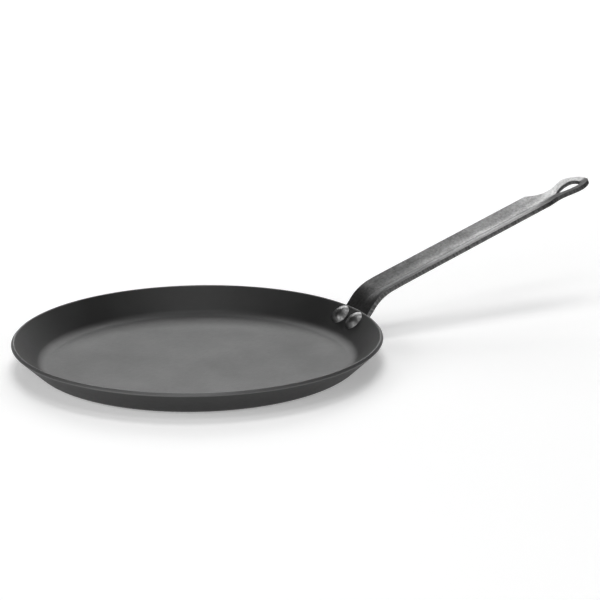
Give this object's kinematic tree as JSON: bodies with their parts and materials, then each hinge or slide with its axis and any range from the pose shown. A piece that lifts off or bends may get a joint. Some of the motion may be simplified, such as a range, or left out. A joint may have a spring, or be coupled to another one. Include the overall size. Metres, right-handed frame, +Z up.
{
  "type": "crepe pan",
  "caption": "Shallow round pan with a flat base and a low flared wall, and a long strip handle riveted to the wall and rising to a hanging eye.",
  "frame": {"origin": "centre of the underside, where the pan stands", "axes": "+Z up out of the pan, +X from the centre along the handle, +Y to the left of the handle as seen from the pan"},
  "size_m": [0.4276, 0.24, 0.0851],
  "materials": {
    "pan_steel": "dark satin rolled carbon steel",
    "handle_steel": "grey mottled pressed steel strip",
    "rivet_steel": "plain grey steel"
  },
  "bodies": {
    "root": {"pan_body": "pan_steel", "handle": "handle_steel", "rivet_left": "rivet_steel", "rivet_right": "rivet_steel"}
  },
  "joints": []
}
